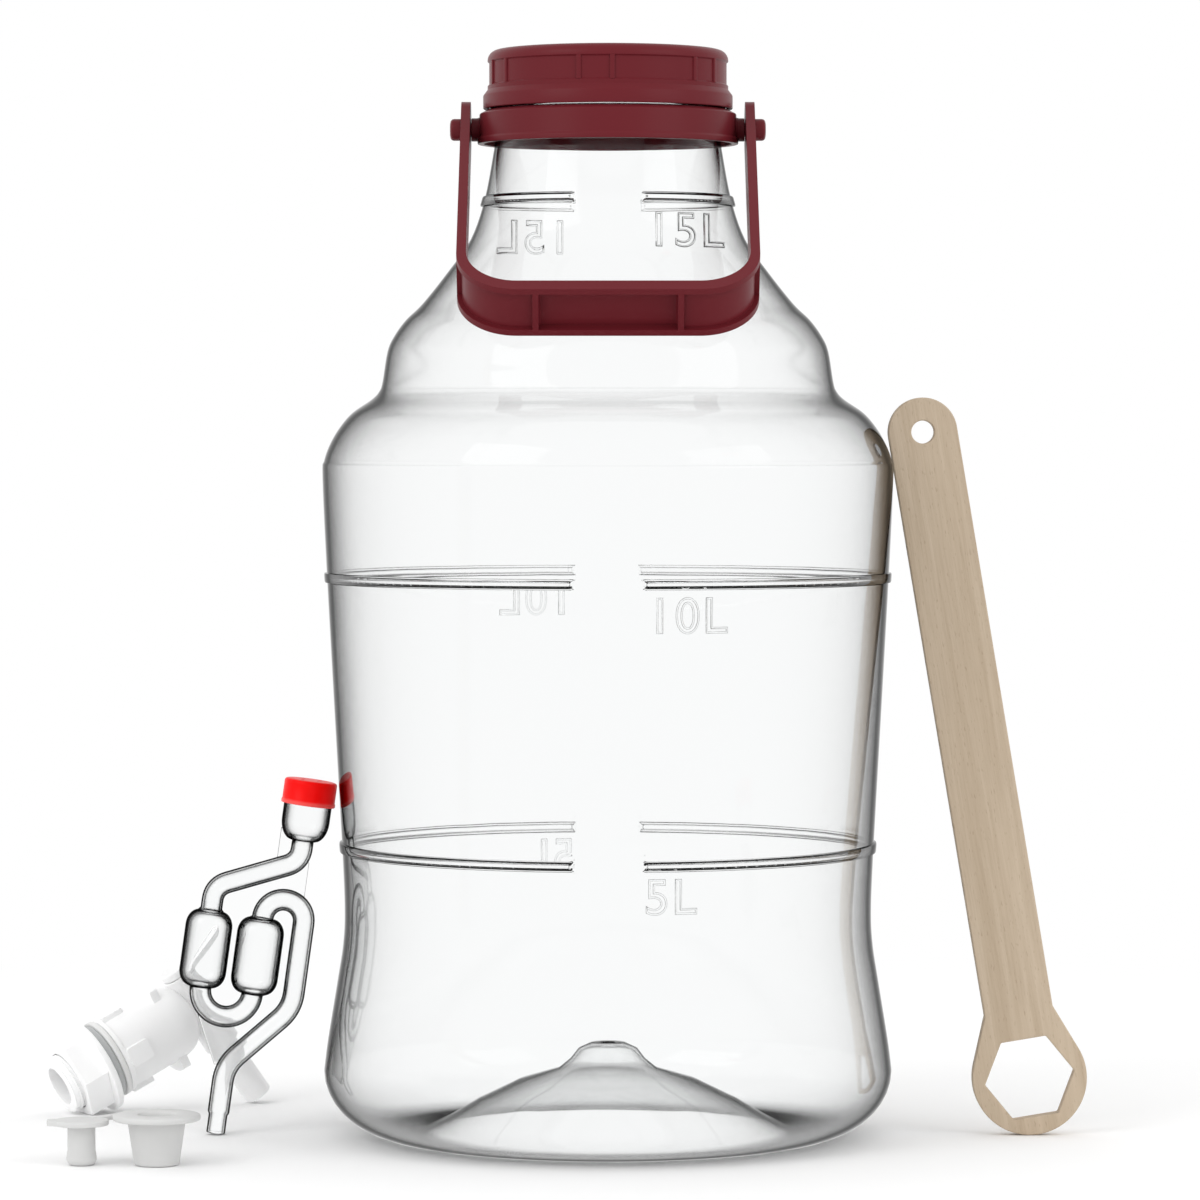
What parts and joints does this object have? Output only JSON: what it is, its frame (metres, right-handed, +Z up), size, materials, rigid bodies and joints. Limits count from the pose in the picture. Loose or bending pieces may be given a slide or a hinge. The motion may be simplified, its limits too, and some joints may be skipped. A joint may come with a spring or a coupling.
{
  "type": "plastic demijohn with airlock",
  "caption": "Clear plastic demijohn with a swing handle, screw cap, bubbler airlock, stoppered bung, barrel tap and wrench.",
  "frame": {"origin": "centre of the whole kit's box in plan, on the floor it stands on", "axes": "+Z up along the jar, -Y the jar's front with the handle, +X to the wrench's side"},
  "size_m": [0.458, 0.2456, 0.467],
  "materials": {
    "clear_pet": "gloss",
    "burgundy_polypropylene": "satin",
    "seal_foam": "matte",
    "clear_petg": "gloss",
    "red_polyethylene": "satin",
    "beech_plywood": "matte",
    "white_polypropylene": "satin",
    "grey_silicone": "matte",
    "white_silicone": "matte"
  },
  "bodies": {
    "jar": {"jar_body": "clear_pet", "neck_collar": "burgundy_polypropylene"},
    "bail": {"bail": "burgundy_polypropylene"},
    "seal": {"cap_seal": "seal_foam"},
    "cap": {"screw_cap": "burgundy_polypropylene"},
    "airlock": {"airlock_body": "clear_petg"},
    "dust_cap": {"airlock_cap": "red_polyethylene"},
    "wrench": {"wrench": "beech_plywood"},
    "tap": {"tap_body": "white_polypropylene"},
    "key": {"tap_key": "white_polypropylene"},
    "washers": {"tap_washer_white": "white_polypropylene", "tap_washer_grey": "grey_silicone"},
    "nut": {"tap_nut": "white_polypropylene"},
    "bung": {"bung": "white_silicone"},
    "plug": {"bung_plug": "white_silicone", "bung_strap": "white_silicone"}
  },
  "joints": [
    {"name": "bail_swing", "type": "hinge", "parent": "jar", "child": "bail", "pos_m": [0.0224, 0, 0.433], "axis": [-1, 0, 0], "range_deg": [0, 256]},
    {"name": "cap_rise", "type": "slide", "parent": "jar", "child": "seal", "axis": [0, 0, 1], "range_m": [0, 0.0261]},
    {"name": "cap_turn", "type": "hinge", "parent": "seal", "child": "cap", "pos_m": [0.0224, 0, 0.45], "axis": [0, 0, 1], "range_deg": [0, 1170]},
    {"name": "airlock_lift", "type": "slide", "parent": "jar", "child": "airlock", "axis": [-0.7071, 0, 0.7071], "range_m": [0, 0.12]},
    {"name": "airlock_cap_lift", "type": "slide", "parent": "airlock", "child": "dust_cap", "axis": [0.1392, 0, 0.9903], "range_m": [0, 0.0201]},
    {"name": "wrench_lift", "type": "slide", "parent": "jar", "child": "wrench", "axis": [0.7071, 0, 0.7071], "range_m": [0, 0.15]},
    {"name": "tap_lift", "type": "slide", "parent": "jar", "child": "tap", "axis": [0, 0, 1], "range_m": [0, 0.12]},
    {"name": "tap_key_turn", "type": "hinge", "parent": "tap", "child": "key", "pos_m": [-0.1623, 0.09783, 0.04503], "axis": [-0.519, -0.2759, 0.809], "range_deg": [-90, 90]},
    {"name": "washer_slide", "type": "slide", "parent": "tap", "child": "washers", "axis": [-0.7936, -0.422, -0.4384], "range_m": [0, 0.0201]},
    {"name": "nut_turn", "type": "hinge", "parent": "washers", "child": "nut", "pos_m": [-0.1996, 0.078, 0.02443], "axis": [-0.7936, -0.422, -0.4384], "range_deg": [0, 3960]},
    {"name": "bung_lift", "type": "slide", "parent": "jar", "child": "bung", "axis": [0, 0, 1], "range_m": [0, 0.1]},
    {"name": "plug_swing", "type": "hinge", "parent": "bung", "child": "plug", "pos_m": [-0.15606, -0.07969, 0.0193], "axis": [-0.9063, 0.4226, 0], "range_deg": [0, 110]}
  ],
  "couplings": [
    {"joint": "cap_rise", "follows": "cap_turn", "m_per_rad": 0.0012732},
    {"joint": "airlock_cap_lift", "follows": "airlock_lift", "ratio": 0.16667},
    {"joint": "washer_slide", "follows": "nut_turn", "m_per_rad": 0.00028871}
  ]
}
